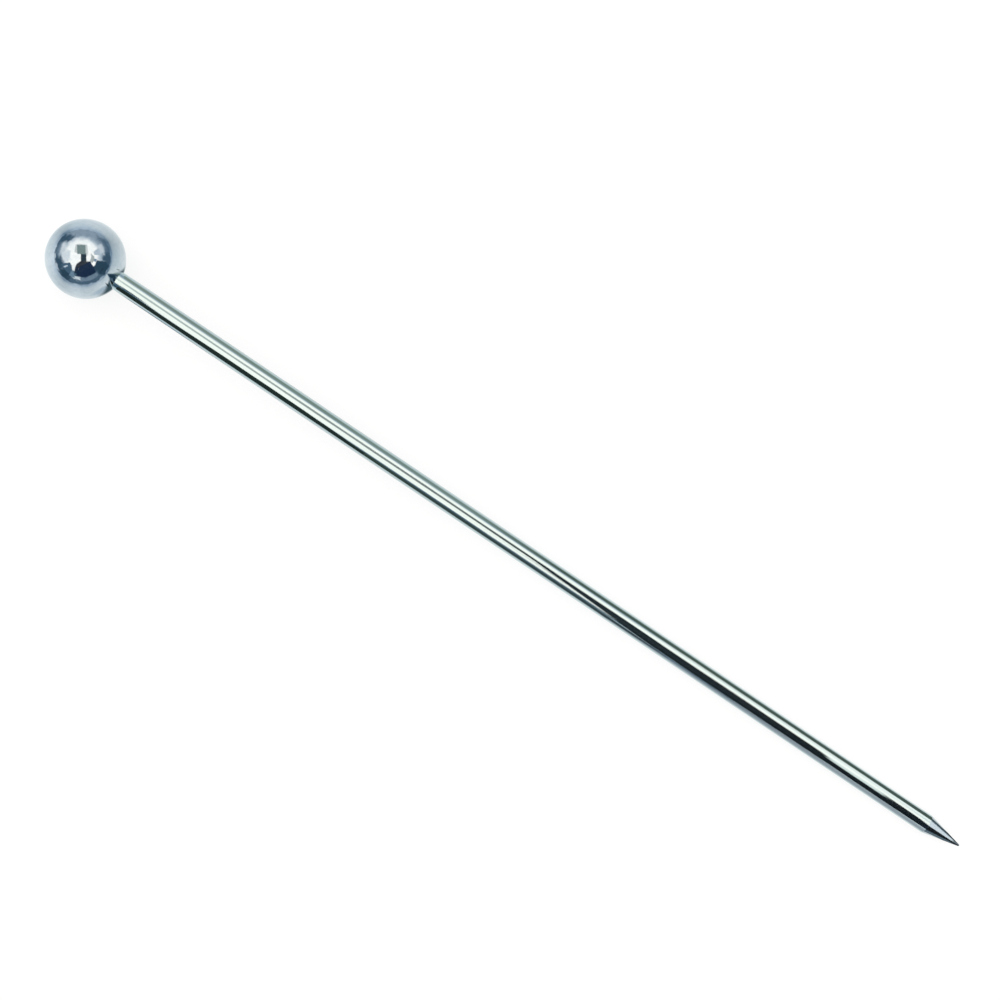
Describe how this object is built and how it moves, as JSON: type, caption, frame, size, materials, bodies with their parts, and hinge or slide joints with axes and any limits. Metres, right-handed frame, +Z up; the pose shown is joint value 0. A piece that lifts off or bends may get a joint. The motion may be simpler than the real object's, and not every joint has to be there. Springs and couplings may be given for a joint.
{
  "type": "cocktail pick",
  "caption": "Slim steel pick for cocktail garnishes: a straight round wire shaft with a ground conical point and a polished ball pressed on its blunt end.",
  "frame": {"origin": "on the surface that the pick lies on, under the middle of its box", "axes": "+X runs from the ball to the tip, level; +Z is up; the pick's own axis slopes down from the ball by 1.7 degrees"},
  "size_m": [0.11, 0.008, 0.008],
  "materials": {
    "ball_steel": "mirror-polished stainless steel",
    "shaft_steel": "polished drawn stainless steel wire, its point ground"
  },
  "bodies": {
    "root": {"ball_head": "ball_steel", "spear_shaft": "shaft_steel"}
  },
  "joints": []
}
